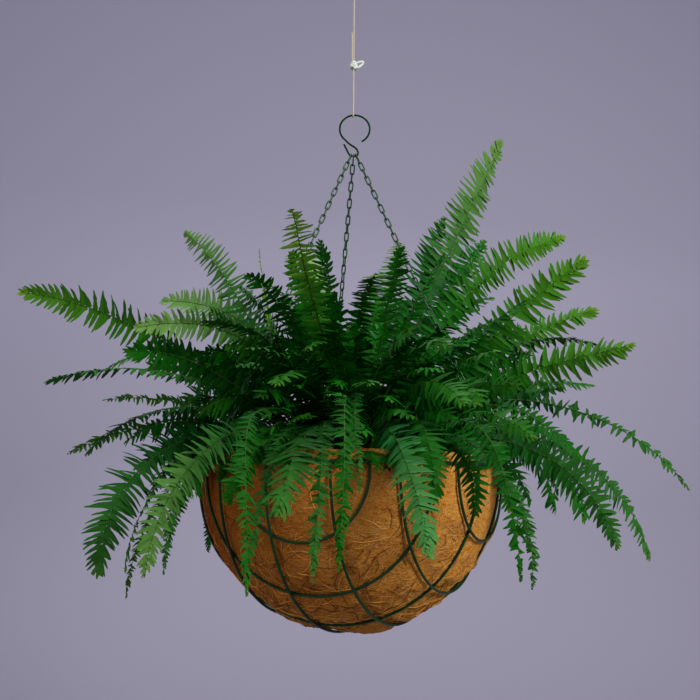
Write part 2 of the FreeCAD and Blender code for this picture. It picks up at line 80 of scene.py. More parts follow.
class Nodes:
    """A short way to build a material's node tree."""

    def __init__(self, name):
        self.mat = bpy.data.materials.new(name)
        self.mat.use_nodes = True
        self.tree = self.mat.node_tree
        self.tree.nodes.clear()
        self.out = self.add("ShaderNodeOutputMaterial")
        self.bsdf = self.add("ShaderNodeBsdfPrincipled")
        self.link(self.bsdf.outputs[0], self.out.inputs[0])

    def add(self, kind, **props):
        n = self.tree.nodes.new(kind)
        for k, v in props.items():
            setattr(n, k, v)
        return n

    def link(self, a, b):
        self.tree.links.new(a, b)

    def put(self, value, socket):
        if isinstance(value, bpy.types.NodeSocket):
            self.link(value, socket)
        else:
            socket.default_value = value

    def coords(self, scale=(1, 1, 1), rotate=(0, 0, 0)):
        c = self.add("ShaderNodeTexCoord")
        m = self.add("ShaderNodeMapping")
        self.put(scale, m.inputs["Scale"])
        self.put(rotate, m.inputs["Rotation"])
        self.link(c.outputs["Object"], m.inputs["Vector"])
        return m.outputs[0]

    def noise(self, vector, scale, detail=4.0, rough=0.55, distortion=0.0):
        n = self.add("ShaderNodeTexNoise")
        for label, value in (("Scale", scale), ("Detail", detail), ("Roughness", rough),
                             ("Distortion", distortion), ("Vector", vector)):
            self.put(value, n.inputs[label])
        return n.outputs["Fac"]

    def attribute(self, name):
        return self.add("ShaderNodeAttribute", attribute_name=name).outputs["Fac"]

    def ramp(self, fac, *stops):
        n = self.add("ShaderNodeValToRGB")
        e = n.color_ramp.elements
        while len(e) < len(stops):
            e.new(0.5)
        for el, (at, colour) in zip(e, stops):
            el.position = at
            el.color = colour
        self.put(fac, n.inputs["Fac"])
        return n.outputs["Color"]

    def mix(self, fac, a, b, blend="MIX"):
        n = self.add("ShaderNodeMix", data_type="RGBA", blend_type=blend)
        self.put(fac, n.inputs["Factor"])
        self.put(a, n.inputs["A"])
        self.put(b, n.inputs["B"])
        return n.outputs["Result"]

    def maths(self, op, a, b=0.0, clamp=False):
        n = self.add("ShaderNodeMath", operation=op, use_clamp=clamp)
        self.put(a, n.inputs[0])
        self.put(b, n.inputs[1])
        return n.outputs[0]

    def times(self, a, b):
        return self.maths("MULTIPLY", a, b)

    def between(self, value, low, high):
        """0 below low, 1 above high."""
        n = self.add("ShaderNodeMapRange")
        n.inputs["From Min"].default_value = low
        n.inputs["From Max"].default_value = high
        self.put(value, n.inputs["Value"])
        return n.outputs[0]

    def finish(self, colour, rough, bump=None, strength=0.3, depth=0.0005, **sockets):
        self.put(colour, self.bsdf.inputs["Base Color"])
        self.put(rough, self.bsdf.inputs["Roughness"])
        if bump is not None:
            b = self.add("ShaderNodeBump")
            b.inputs["Strength"].default_value = strength
            b.inputs["Distance"].default_value = depth
            self.link(bump, b.inputs["Height"])
            self.link(b.outputs[0], self.bsdf.inputs["Normal"])
        for k, v in sockets.items():
            self.bsdf.inputs[k.replace("_", " ")].default_value = v
        return self.mat


def wire_material(name, dark, light, bare, rough, gloss=0.18):
    """Green coating on wire: thicker and darker in places, dulled, rubbed thin on the high spots; on the chain the pale
    colour of the rubbed spots is also painted highlight.
    """
    n = Nodes(name)
    p = n.coords()
    tone = n.noise(p, 90.0, 3.0)
    dust = n.noise(p, 900.0, 5.0, 0.7)
    worn_and_highlight = n.between(n.noise(p, 260.0, 6.0, 0.7), 0.66, 0.74)
    colour = n.mix(n.between(tone, 0.3, 0.7), dark, light)
    colour = n.mix(n.times(n.between(dust, 0.5, 0.8), 0.35), colour, srgb(60, 100, 70))
    colour = n.mix(n.times(worn_and_highlight, 0.8), colour, bare)
    roughness = n.maths("ADD", n.times(dust, 0.3), rough - 0.15)
    return n.finish(colour, roughness, dust, 0.25, 0.0003, Specular_IOR_Level=gloss)


coated = wire_material("coated_wire", srgb(2, 34, 10), srgb(4, 56, 18), srgb(34, 78, 34), 0.42)
hook_mat = wire_material("hook_wire", srgb(2, 38, 6), srgb(4, 60, 12), srgb(50, 84, 48), 0.42, 0.05)
# the chain's pale grey-green for rubbed spots is partly painted highlight on its links
chain_mat = wire_material("chain_wire", srgb(8, 48, 22), srgb(34, 88, 46), srgb(132, 148, 112), 0.38, 0.4)


def leaf_material(name, young, mid, old, dry_share):
    """Fern leaf: lighter at the frond's tip, each leaflet its own shade, paler midrib, dry edges here and there."""
    n = Nodes(name)
    p = n.coords()
    rand, age, across = n.attribute("leaf_rand"), n.attribute("leaf_age"), n.attribute("leaf_across")
    patch = n.noise(p, 22.0, 3.0)
    fine = n.noise(p, 700.0, 4.0, 0.6)
    shade = n.maths("ADD", n.times(rand, 0.55), n.times(patch, 0.5))
    colour = n.mix(n.between(shade, 0.22, 0.85), old, mid)
    colour = n.mix(n.times(n.between(age, 0.35, 1.0), 0.75), colour, young)
    colour = n.mix(n.times(n.between(age, 0.95, 1.0), 14.0 * dry_share), colour, srgb(132, 150, 44))
    rib = n.between(across, 0.16, 0.0)
    colour = n.mix(n.times(rib, 0.25), colour, srgb(34, 118, 20))
    edge = n.between(across, 0.7, 1.0)
    dry = n.between(n.noise(p, 60.0, 5.0, 0.65), 0.72 - dry_share, 0.76 - dry_share)
    colour = n.mix(n.times(n.times(dry, edge), 0.9), colour, srgb(150, 96, 34))
    spot = n.between(n.noise(p, 190.0, 2.0), 0.75, 0.79)
    colour = n.mix(n.times(spot, 0.7), colour, srgb(136, 82, 30))
    colour = n.mix(n.times(n.between(fine, 0.45, 0.75), 0.08), colour, srgb(54, 116, 30))
    roughness = n.maths("ADD", n.times(fine, 0.3), 0.38)
    return n.finish(colour, roughness, fine, 0.35, 0.0004, Specular_IOR_Level=0.06)


leaf = leaf_material("fern_leaf", srgb(78, 134, 26), srgb(18, 100, 8), srgb(2, 68, 3), 0.03)
# a darker copy of the leaf: older leaves, and painted shade on the fronds inside and under the others
leaf_dark = leaf_material("fern_leaf_inner", srgb(20, 94, 10), srgb(5, 76, 6), srgb(2, 54, 3), 0.01)
leaf_mid = leaf_material("fern_leaf_mid", srgb(40, 104, 18), srgb(10, 82, 7), srgb(2, 56, 4), 0.01)
leaf_shaded = leaf_material("fern_leaf_shaded", srgb(52, 112, 36), srgb(9, 72, 18), srgb(2, 52, 12), 0.01)
leaf_teal = leaf_material("fern_leaf_teal", srgb(76, 136, 66), srgb(24, 98, 40), srgb(5, 68, 22), 0.01)
# a lighter copy of the leaf: paler young fronds, and painted light on fronds 5 and 6, which the lamps leave dark
leaf_bright = leaf_material("fern_leaf_bright", srgb(150, 196, 64), srgb(82, 152, 40), srgb(32, 112, 20), 0.02)
leaf_heart = leaf_material("fern_leaf_heart", srgb(24, 112, 18), srgb(8, 94, 12), srgb(3, 72, 8), 0.01)
leaf_grey = leaf_material("fern_leaf_grey", srgb(100, 142, 62), srgb(34, 98, 34), srgb(8, 70, 18), 0.01)
leaf_pale = leaf_material("fern_leaf_pale", srgb(124, 164, 84), srgb(84, 138, 62), srgb(40, 104, 36), 0.0)


def stem_material():
    n = Nodes("fern_stem")
    p = n.coords()
    age = n.attribute("leaf_age")
    scurf = n.noise(p, 900.0, 5.0, 0.7)
    colour = n.mix(n.between(age, 0.05, 0.7), srgb(50, 56, 20), srgb(44, 84, 20))
    colour = n.mix(n.times(n.between(scurf, 0.55, 0.75), 0.4), colour, srgb(92, 74, 34))
    return n.finish(colour, 0.6, scurf, 0.4, 0.0004, Specular_IOR_Level=0.12)


stem_mat = stem_material()


def coir_material():
    """Matted coconut fibre: swirls of light and dark strands, dark damp patches, tan where dry, and painted shade on
    the left side and by the rim under the fern.
    """
    n = Nodes("coir")
    p = n.coords()
    swirl = n.noise(p, 9.0, 2.0, 0.5, 1.2)
    strands_a = n.noise(n.coords((1, 1, 5), (0.5, 0.2, 0)), 74.0, 6.0, 0.7, 3.4)
    strands_b = n.noise(n.coords((5, 1, 1), (0.1, 0.6, 0.4)), 86.0, 6.0, 0.7, 4.0)
    strands = n.mix(n.between(swirl, 0.42, 0.58), strands_a, strands_b)
    sep = n.add("ShaderNodeRGBToBW")
    n.link(strands, sep.inputs[0])
    s = sep.outputs[0]
    colour = n.ramp(s, (0.28, srgb(62, 28, 1)), (0.42, srgb(166, 96, 10)), (0.55, srgb(218, 150, 46)),
                    (0.72, srgb(244, 206, 128)))
    damp = n.between(n.noise(p, 14.0, 4.0, 0.6), 0.46, 0.66)
    colour = n.mix(n.times(damp, 0.3), colour, srgb(112, 58, 6))
    for turn, size in (((0.3, 0.9, 0.2), 34.0), ((1.3, 0.2, 0.8), 46.0), ((0.8, 1.9, 1.1), 40.0)):
        field = n.noise(n.coords((1, 1, 3.0), turn), size, 3.0, 0.6, 2.4)
        line = n.between(n.maths("ABSOLUTE", n.maths("SUBTRACT", field, 0.5)), 0.012, 0.002)
        colour = n.mix(n.times(line, 0.5), colour, srgb(236, 196, 134))
    # painted shade: the liner darker on its left side, with a height term for more shade by the rim under the fern
    place = n.add("ShaderNodeSeparateXYZ")
    n.link(p, place.inputs[0])
    painted_shade = n.times(n.between(place.outputs[0], 0.13, -0.15), 0.55)
    painted_shade = n.maths("ADD", painted_shade, n.times(n.times(n.between(place.outputs[2], up(-70), up(5)), painted_shade), 0.8), True)
    colour = n.mix(painted_shade, colour, n.mix(1.0, colour, srgb(178, 136, 62), "MULTIPLY"))
    return n.finish(colour, 0.92, s, 0.9, 0.0022, Specular_IOR_Level=0.1)


coir_mat = coir_material()


def soil_material():
    n = Nodes("potting_mix")
    p = n.coords()
    crumbs = n.add("ShaderNodeTexVoronoi")
    crumbs.inputs["Scale"].default_value = 260.0
    n.link(p, crumbs.inputs["Vector"])
    grit = n.noise(p, 420.0, 6.0, 0.7)
    colour = n.mix(n.between(grit, 0.35, 0.7), srgb(28, 20, 15), srgb(74, 54, 38))
    colour = n.mix(n.between(n.noise(p, 500.0, 2.0), 0.74, 0.78), colour, srgb(206, 202, 190))
    return n.finish(colour, 0.95, crumbs.outputs["Distance"], 0.8, 0.002)


soil_mat = soil_material()


def twine_material(name, dark, light):
    n = Nodes(name)
    p = n.coords()
    fuzz = n.noise(p, 1600.0, 5.0, 0.7)
    fibre = n.noise(n.coords((1, 1, 0.12), (0.5, 0, 0)), 2600.0, 4.0, 0.6)
    colour = n.mix(n.between(fibre, 0.3, 0.7), dark, light)
    colour = n.mix(n.times(n.between(fuzz, 0.6, 0.8), 0.3), colour, dark)
    return n.finish(colour, 0.9, fibre, 0.5, 0.0003, Sheen_Weight=0.3)


twine_mat = twine_material("twine", srgb(160, 146, 110), srgb(216, 208, 180))
knot_mat = twine_material("twine_clean", srgb(186, 194, 178), srgb(238, 244, 234))    # clean inside the knot


def new_object(name, data):
    o = bpy.data.objects.new(name, data)
    bpy.context.collection.objects.link(o)
    return o


# ---- camera ----
CAMERA_AT = (-1.9, -907.3, up(-28.6))
PITCH, ROLL, FOV = 10.66, -0.45, 49.95


def make_camera():
    data = bpy.data.cameras.new("camera")
    data.sensor_fit = "HORIZONTAL"
    data.angle = radians(FOV)
    data.clip_start, data.clip_end = 0.05, 20.0
    cam = new_object("camera", data)
    p, r = radians(PITCH), radians(ROLL)
    ahead = Vector((0, cos(p), sin(p)))
    right = Vector((1, 0, 0))
    top = right.cross(ahead)
    x = right * cos(r) - top * sin(r)
    y = right * sin(r) + top * cos(r)
    m = Matrix((x, y, -ahead)).transposed().to_4x4()
    m.translation = Vector(CAMERA_AT) * MM
    cam.matrix_world = m
    bpy.context.scene.camera = cam


make_camera()


# ---- meshes ----
def make_mesh(name, verts, faces, flat=False):
    mesh = bpy.data.meshes.new(name)
    mesh.from_pydata([tuple(v) for v in verts], [], faces)
    if not flat:
        mesh.polygons.foreach_set("use_smooth", [True] * len(mesh.polygons))
    return mesh


def ring_faces(rings, around, first=0, flip=False):
    """Quads between rings of points that follow each other in a mesh."""
    out = []
    for i in range(rings - 1):
        for j in range(around):
            a, b = first + i * around + j, first + i * around + (j + 1) % around
            out.append((a, a + around, b + around, b) if flip else (a, b, b + around, a + around))
    return out


def add_tube(verts, faces, line, n1, n2, sides, radius):
    """A tube with closed ends along a line; radius(i, angle) is in metres."""
    base = len(verts)
    for i, (q, u, w) in enumerate(zip(line, n1, n2)):
        for j in range(sides):
            b = 2 * pi * j / sides
            verts.append(q + (u * cos(b) + w * sin(b)) * radius(i, b))
    faces += ring_faces(len(line), sides, base)
    faces.append(tuple(base + j for j in reversed(range(sides))))
    faces.append(tuple(base + (len(line) - 1) * sides + j for j in range(sides)))


def add_object(name, data, body, material):
    o = new_object(name, data)
    for m in material if isinstance(material, (list, tuple)) else [material]:
        data.materials.append(m)
    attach(o, body)
    return o


# ---- twine ----
def line_curve(name, points, diameter):
    """An open order 3 NURBS curve with the points as its control points."""
    c = bpy.data.curves.new(name, "CURVE")
    c.dimensions = "3D"
    s = c.splines.new("NURBS")
    s.points.add(len(points) - 1)
    for q, p in zip(s.points, points):
        q.co = (p[0] * MM, p[1] * MM, p[2] * MM, 1.0)
    s.order_u = 3
    s.use_endpoint_u = True
    s.resolution_u = 12
    c.bevel_depth = diameter * MM / 2.0
    c.bevel_resolution = 4
    c.use_fill_caps = True
    return c


ring_top = up(RING_Z) + sqrt(RING_R ** 2 - RING_X ** 2)
knot = up(KNOT_Z)
bight = HOOK_WIRE / 2.0 + BIGHT_GAP + TWINE_D / 2.0
above_knot = knot + KNOT_H / 2 + TWINE_GAP


def standing_corners():
    rise = TOP_KNOT_Z - above_knot
    return [(0, 0, above_knot), (0, 0, above_knot + rise / 3), (0, 0, above_knot + rise * 0.6), (0, 0, TOP_KNOT_Z - 8.0),
            (-0.8, 0, TOP_KNOT_Z),
            (-5.4, 0, -26.0), (-8.2, 0, -13.0), (-7.0, 0, -2.4), (-2.6, 0, TWINE_D / 2.0),
            (2.6, 0, TWINE_D / 2.0), (7.0, 0, -2.4), (8.2, 0, -13.0), (5.8, 0, -25.0), (3.2, 0, -31.6)]


def bight_corners():
    side = [(0, -1.35, knot - KNOT_H / 2 + 0.15), (0, -1.5, knot - 22.0), (0, -1.9, ring_top + 22.0),
            (0, -bight, ring_top + 6.0)]
    corner = bight / cos(radians(22.5))
    turns = [radians(a) for a in (202.5, 247.5, 292.5, 337.5)]
    under = [(0, corner * cos(a), ring_top + corner * sin(a)) for a in turns]
    return side + under + [(x, -y, z) for x, y, z in reversed(side)]


def tail_corners():
    return [(TAIL_X, 0, above_knot), (TAIL_X, 0, knot + 16.0), (TAIL_X, 0, knot + 30.0), (TAIL_X - 0.4, 0, knot + 46.0)]


def curve_line(curve):
    """The points along a curve's centre line, in metres."""
    bare = curve.copy()
    bare.bevel_depth = 0.0
    o = new_object("line", bare)
    mesh = bpy.data.meshes.new_from_object(o.evaluated_get(bpy.context.evaluated_depsgraph_get()))
    pts = np.array([v.co for v in mesh.vertices], float)
    bpy.data.objects.remove(o)
    bpy.data.curves.remove(bare)
    bpy.data.meshes.remove(mesh)
    return pts


def resample(pts, step):
    s = np.concatenate([[0], np.cumsum(np.linalg.norm(np.diff(pts, axis=0), axis=1))])
    n = max(2, int(s[-1] / step))
    t = np.linspace(0, s[-1], n + 1)
    return np.stack([np.interp(t, s, pts[:, k]) for k in range(3)], 1), t


def carried_frames(pts):
    """Tangents and a pair of normals carried along the points without twist."""
    tan = np.gradient(pts, axis=0)
    tan /= np.linalg.norm(tan, axis=1)[:, None]
    n = np.cross(tan[0], [0.3, 1.0, 0.1])
    n /= np.linalg.norm(n)
    out = []
    for t in tan:
        n = n - t * n.dot(t)
        n /= np.linalg.norm(n)
        out.append(n)
    n1 = np.array(out)
    return tan, n1, np.cross(tan, n1)


TWINE_STEP, TWINE_SIDES, PLIES, LAY = 0.0005, 8, 3, 7.0       # LAY: one ply's turn round the line, in millimetres
PLY_R, PLY_OFF = 0.27, 0.24                                   # shares of the twine's diameter


def twisted_twine(name, points, diameter):
    """Twine as plies laid round the route's own centre line."""
    pts, s = resample(curve_line(line_curve(name + "_line", points, diameter)), TWINE_STEP)
    tan, n1, n2 = carried_frames(pts)
    verts, faces = [], []
    for k in range(PLIES):
        a = 2 * pi * (s / (LAY * MM) + k / PLIES)
        line = pts + (n1 * np.cos(a)[:, None] + n2 * np.sin(a)[:, None]) * (PLY_OFF * diameter * MM)
        add_tube(verts, faces, line, n1, n2, TWINE_SIDES, lambda i, b: PLY_R * diameter * MM)
    return make_mesh(name, verts, faces), pts


KNOT_SIDES, STRANDS, STRAND_DEPTH, STRAND_TWIST = 10, 3, 0.10, 0.35


def knot_mesh(name, centre, size, diameter, ear=None):
    """A pulled-tight overhand knot: one closed turn of twine through itself, with its end as an ear."""
    turns = []
    for k in range(25):
        t = 2 * pi * k / 24.0
        x = (sin(t) + 2 * sin(2 * t)) / 3.0
        y = (cos(t) - 2 * cos(2 * t)) / 3.0
        z = -sin(3 * t)
        turns.append((centre[0] + size[0] * y, centre[1] + size[1] * z, centre[2] + size[2] * x))
    lines = [resample(np.array(turns) * MM, 0.0004)[0]]
    if ear:
        lines.append(resample(np.array(ear) * MM, 0.0006)[0])
    verts, faces = [], []
    for line in lines:
        tan, n1, n2 = carried_frames(line)
        add_tube(verts, faces, line, n1, n2, KNOT_SIDES,
                 lambda i, b: diameter / 2.0 * MM * (1.0 + STRAND_DEPTH * cos(STRANDS * b + i * STRAND_TWIST)))
    return make_mesh(name, verts, faces)


mesh = knot_mesh("top_knot_turns", (0.8, 0.0, TOP_KNOT_Z + 1.0), (2.8, 2.0, 3.6), 1.9)
top_knot = add_object("top_knot_turns", mesh, "cord", twine_mat)
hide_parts("top_knot")
# the ring's knot: turns round the twine from its foot up, then the ear's loop
KNOT_WRAPS, WRAP_R, WRAP_STEPS = 3.25, 3.7, 16
WRAP_FOOT, WRAP_RISE = -7.2, 8.6
low_turns = []
for k in range(int(KNOT_WRAPS * WRAP_STEPS) + 1):
    share = k / (KNOT_WRAPS * WRAP_STEPS)
    a = 2 * pi * KNOT_WRAPS * (share - 1.0)
    low_turns.append((WRAP_R * cos(a), 0.85 * WRAP_R * sin(a), knot + WRAP_FOOT + WRAP_RISE * share))
low_turns += [(6.4, -0.4, knot + 2.4), (9.6, -0.5, knot + 3.2), (12.8, -0.3, knot + 3.0), (11.4, 0.0, knot - 0.2),
              (7.6, -0.8, knot - 4.4), (3.0, -2.4, knot - 6.6)]
mesh = knot_mesh("ring_knot_turns", (-0.2, 0.0, knot - 2.2), (3.8, 3.2, 5.0), 3.0, low_turns)
low_knot = add_object("ring_knot_turns", mesh, "cord_loop", knot_mat)
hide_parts("cord_knot")

mesh, path = twisted_twine("standing_twine", standing_corners(), TWINE_D)
standing = add_object("standing_twine", mesh, "cord", twine_mat)
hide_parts("hanging_cord")

mesh, path = twisted_twine("bight_twine", bight_corners(), TWINE_D)
bight_piece = add_object("bight_twine", mesh, "cord_loop", twine_mat)
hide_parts("cord_loop")

mesh, path = twisted_twine("free_end_twine", tail_corners(), TWINE_D)
tail = add_object("free_end_twine", mesh, "cord", twine_mat)
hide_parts("cord_tail")


# ---- wires, chains and hook keep their CAD shapes ----
def paint(node, material):
    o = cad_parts[node]
    o.data.materials.clear()
    o.data.materials.append(material)
    o.data.polygons.foreach_set("use_smooth", [True] * len(o.data.polygons))


paint("rim_ring", coated)
for layer in ("inner", "outer"):
    for k in range(1, 8):
        paint("%s_rib_%d" % (layer, k), coated)
paint("hanger_hook", hook_mat)
for k in (1, 2, 3):
    paint("chain_%d" % k, chain_mat)
    paint("rim_clip_%d" % k, chain_mat)


# ---- coir liner ----
def rib_planes():
    """The bowl wires: (direction across them, their offsets, their sphere's radius)."""
    out = []
    for azimuth, r in ((INNER_AZ, INNER_BOWL_R), (OUTER_AZ, INNER_BOWL_R + LAYER)):
        a = radians(azimuth)
        offsets = [r * sin(radians((k - 3) * RIB_STEP)) for k in range(7)]
        out.append((np.array([cos(a), sin(a)]), offsets, r))
    return out


PLANES = rib_planes()
LUMPS = 0.05              # scale of the coir's lumps
PUSH, PUSH_LUMPS = 3.2, 2.4        # how far it bulges between wires, and how much that varies


def smooth(x, low, high):
    t = np.clip((x - low) / (high - low), 0, 1)
    return t * t * (3 - 2 * t)


def bulge(p):
    """How far the coir pushes out between the wires at a point, in millimetres: none under a wire."""
    free = 1.0
    for n, offsets, r in PLANES:
        u = p[0] * n[0] + p[1] * n[1]
        near = min(abs(u - d) for d in offsets)
        free *= float(smooth(near, 1.0, 16.0)) if r == INNER_BOWL_R else float(smooth(near, 0.5, 10.0))
    return free


def lump_at(x, y, z):
    """The coir's slow unevenness at a point, and the point on its noise's scale."""
    q = Vector((x * LUMPS, y * LUMPS, z * LUMPS))
    return noise.noise(q) + 0.5 * noise.noise(q * 2.7 + Vector((7, 3, 1))), q


def make_liner():
    around, down = 360, 110
    verts = []
    a_top = asin(BOWL_DROP / COIR_R)
    rows = []
    for k in range(down):                                   # outside, bottom to rim
        a = -pi / 2 + (pi / 2 + a_top) * (k + 1) / down
        rows.append(("out", COIR_R * cos(a), -BOWL_DROP + COIR_R * sin(a)))
    for z in (3.0, 6.0, 8.5, 10.5, 11.6):                   # outside, above the rim
        rows.append(("lip", COIR_R - 0.3 - 0.02 * z * z * 0.4, z))
    for x in (0.15, 0.35, 0.6, 0.85):                       # over the top edge
        rows.append(("edge", COIR_R - 0.6 - x * (COIR_T - 1.0), COIR_PROUD + 0.5 * sin(pi * x)))
    for z in (10.0, 6.0, 1.0, -4.0, SOIL_TOP - 4.0):        # inside, down to the soil
        rows.append(("in", COIR_R - COIR_T, z))
    for kind, r, z in rows:
        for j in range(around):
            a = 2 * pi * j / around
            x, y = r * cos(a), r * sin(a)
            lump, q = lump_at(x, y, z)
            rough = noise.noise(q * 9.0) + 0.6 * noise.noise(q * 21.0)
            if kind == "out":
                free = bulge((x, y))
                push = free * (PUSH + PUSH_LUMPS * lump) + 0.55 * rough * (0.25 + free)
                # the bottom at the front right sags most
                sag = smooth(-z, 150.0, 185.0) * smooth(x, -20.0, 40.0) * (1 - smooth(x, 90.0, 125.0))
                push += free * 4.5 * float(sag)
                d = np.array([x, y, z + BOWL_DROP])
                d = d / np.linalg.norm(d)
                v = np.array([x, y, z]) + d * max(push, -0.6)
            else:
                k = 1.0 + (0.9 * lump + 0.9 * rough) / r if kind != "lip" else 1.0 + min(0.0, 0.6 * rough - 0.2) / r
                top = 0.0
                if kind in ("edge", "lip") and z > 8.0:
                    top = 1.3 * lump + 1.2 * rough
                v = np.array([x * k, y * k, min(z + top, COIR_PROUD + 3.2)])
            verts.append((v[0] * MM, v[1] * MM, up(v[2]) * MM))
    faces = ring_faces(len(rows), around)
    low = len(verts)
    verts.append((0, 0, up(-BOWL_DROP - COIR_R) * MM))
    faces += [(low, (j + 1) % around, j) for j in range(around)]
    return make_mesh("coir_liner_matted", verts, faces)


liner = add_object("coir_liner_matted", make_liner(), "basket", coir_mat)
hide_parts("coir_liner")


FIBRE_POINTS = 12


def stray_fibres(name, seed, count, radius, colour):
    """Loose fibres lying in curls on the outside of the coir, between the wires."""
    rng = np.random.default_rng(seed)
    verts, faces = [], []
    while len(faces) < count * (FIBRE_POINTS - 1) * 3:
        a, e = rng.uniform(-pi, pi), -acos(1 - rng.uniform(0.0, 0.97))
        d = np.array([cos(e) * cos(a), cos(e) * sin(a), sin(e)])
        if d[2] < -0.97:
            continue
        t = np.cross(d, rng.normal(size=3))
        t /= np.linalg.norm(t)
        bend = rng.normal(0, 0.055)
        step = rng.uniform(0.8, 3.4) / COIR_R
        pts = []
        for k in range(FIBRE_POINTS):
            lump, _ = lump_at(d[0] * COIR_R, d[1] * COIR_R, d[2] * COIR_R - BOWL_DROP)
            push = (bulge((d[0] * COIR_R, d[1] * COIR_R)) * (PUSH + PUSH_LUMPS * lump)
                    + 0.35 + 0.5 * sin(pi * k / (FIBRE_POINTS - 1)))
            pts.append(d * (COIR_R + push) - np.array([0, 0, BOWL_DROP]))
            d = d + t * step
            d /= np.linalg.norm(d)
            side = np.cross(d, t)
            t = t + side * (bend + rng.normal(0, 0.05))
            t -= d * (t @ d)
            t /= np.linalg.norm(t)
        pts = np.array(pts)
        if pts[:, 2].max() > -3.0:
            continue
        tan, n1, n2 = carried_frames(pts)
        base = len(verts)
        for k in range(FIBRE_POINTS):
            r = radius * rng.uniform(0.8, 1.2) * (0.35 if k in (0, FIBRE_POINTS - 1) else 1.0)
            for j in range(3):
                b = 2 * pi * j / 3
                v = pts[k] + (n1[k] * cos(b) + n2[k] * sin(b)) * r
                verts.append((v[0] * MM, v[1] * MM, up(v[2]) * MM))
        faces += ring_faces(FIBRE_POINTS, 3, base)
    material = Nodes(name).finish(colour, 0.85, Specular_IOR_Level=0.1)
    add_object(name, make_mesh(name, verts, faces, flat=True), "basket", material)


stray_fibres("coir_light_fibres", 31, 900, 0.26, srgb(220, 156, 66))
stray_fibres("coir_dark_fibres", 32, 500, 0.3, srgb(84, 42, 8))


# ---- potting soil ----
def make_soil():
    radius = INNER_BOWL_R - RIB_WIRE / 2.0 - COIR_T - 1.5
    rings, around = 44, 120
    verts, faces = [(0, 0, up(SOIL_TOP + 1.0) * MM)], []
    for i in range(1, rings + 1):
        r = radius * i / rings
        for j in range(around):
            a = 2 * pi * j / around
            q = Vector((r * cos(a), r * sin(a), 0.0))
            h = 1.8 * noise.noise(q * 0.05) + 1.2 * noise.noise(q * 0.2) + 0.9 * noise.noise(q * 0.6)
            verts.append((q.x * MM, q.y * MM, up(SOIL_TOP + h) * MM))
    faces += [(0, 1 + j, 1 + (j + 1) % around) for j in range(around)]
    faces += ring_faces(rings, around, 1, flip=True)
    return make_mesh("potting_mix_top", verts, faces)


soil = add_object("potting_mix_top", make_soil(), "basket", soil_mat)
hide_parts("potting_soil")

# ---- fern ----
# azimuth, launch angle, end angle, length, sideways sweep, power of the droop, width, roll: as in the CAD
FRONDS = (
    (-175, 38, 6, 335, -2, 1.5, 46, 60),
    (-165, 58, -20, 210, 0, 1.0, 30, 35),
    (155, 60, 3, 288, -4, 1.0, 38, 55),
    (173, 58, 29, 325, -48, 2.5, 34, 50),
    (-105, 53, 0, 275, 14, 1.0, 38, 0),
    (130, 80, 14, 335, -36, 1.0, 34, 10),
    (66, 68, 26, 400, 20, 1.0, 38, 15),
    (-75, 84, -26, 196, -11, 1.0, 26, 0),
    (27, 66, 56, 455, 18, 1.0, 44, 60),
    (10, 61, 17, 335, 12, 1.5, 40, 50),
    (-1, 46, 32, 262, -14, 2.5, 42, 55),
    (28, 43, 16, 287, -44, 1.0, 38, 50),
    (5, 34, 4, 250, -46, 1.0, 44, 60),
    (-31, 27, -58, 298, 30, 1.0, 26, 50),
    (-1, 18, -78, 312, 13, 1.0, 52, 40),
    (-35, 14, -75, 236, 22, 1.0, 42, 30),
    (-61, 14, -94, 300, -26, 1.5, 34, 10),
    (171, 18, -26, 256, -2, 1.0, 30, 45),
    (155, 27, -7, 250, 22, 1.0, 24, 50),
    (-161, 15, -92, 258, 52, 1.0, 50, 45),
    (141, 14, -85, 420, 4, 1.0, 28, 20),
    (-125, 15, -78, 268, 15, 1.0, 36, 20),
    (-114, 20, -73, 340, 44, 1.0, 30, 0),
    (-112, 14, -72, 150, -33, 1.0, 30, 0),
    (-100, 14, -51, 240, 3, 1.0, 52, 0),
    (-90, 18, -92, 325, -5, 1.5, 26, 0),
    (-80, 14, -72, 238, 6, 1.0, 40, 0),
    (45, 20, -60, 300, 10, 1.0, 44, 0),
    (84, 26, -55, 320, 8, 1.0, 46, 0),
    (118, 16, -60, 300, -6, 1.0, 44, 0),
)
# which fronds have another leaf material than the plain one, by their place in the table
SHADES = ((leaf_pale, (2, 3)), (leaf_bright, (5, 6)), (leaf_grey, (4, 7, 9, 22)), (leaf_shaded, (14, 15, 16, 20, 25)),
          (leaf_teal, (27,)), (leaf_dark, (17, 23, 24, 26)))
# fronds whose leaflets turn or spread unlike the table's plain blade:
# width, roll, how far apart the leaflets are, how closely they fill it, how ragged they are
LOOKS = {
    2: (36, 74, 0.9, 1.1, 0.0), 3: (44, 96, 0.9, 1.1, 0.0), 4: (40, -68, 1.0, 0.9, 0.1),
    5: (34, 0, 1.15, 0.85, 0.1), 6: (34, -32, 1.0, 0.95, 0.1), 9: (54, 60, 0.85, 1.2, 0.0),
    10: (46, 84, 0.85, 1.15, 0.0), 11: (50, 82, 0.8, 1.2, 0.05), 12: (44, 84, 0.8, 1.1, 0.1),
    13: (48, 75, 0.8, 1.2, 0.1), 14: (20, 60, 1.0, 1.0, 0.6), 15: (36, 75, 0.8, 1.1, 0.1),
    16: (32, 70, 0.8, 1.1, 0.1), 17: (22, 20, 0.6, 1.3, 0.8), 18: (26, 45, 1.0, 1.0, 0.6),
    19: (20, 50, 1.0, 1.0, 0.6), 20: (46, -52, 0.6, 1.2, 0.2), 21: (22, 20, 0.9, 1.0, 0.5),
    22: (34, -40, 0.6, 1.2, 0.3), 23: (19, 0, 0.5, 1.3, 0.7), 24: (30, -55, 0.7, 1.2, 0.3),
    25: (45, 0, 0.6, 1.25, 0.25), 26: (17, 0, 0.5, 1.3, 0.7), 27: (33, 24, 0.65, 1.3, 0.2),
}
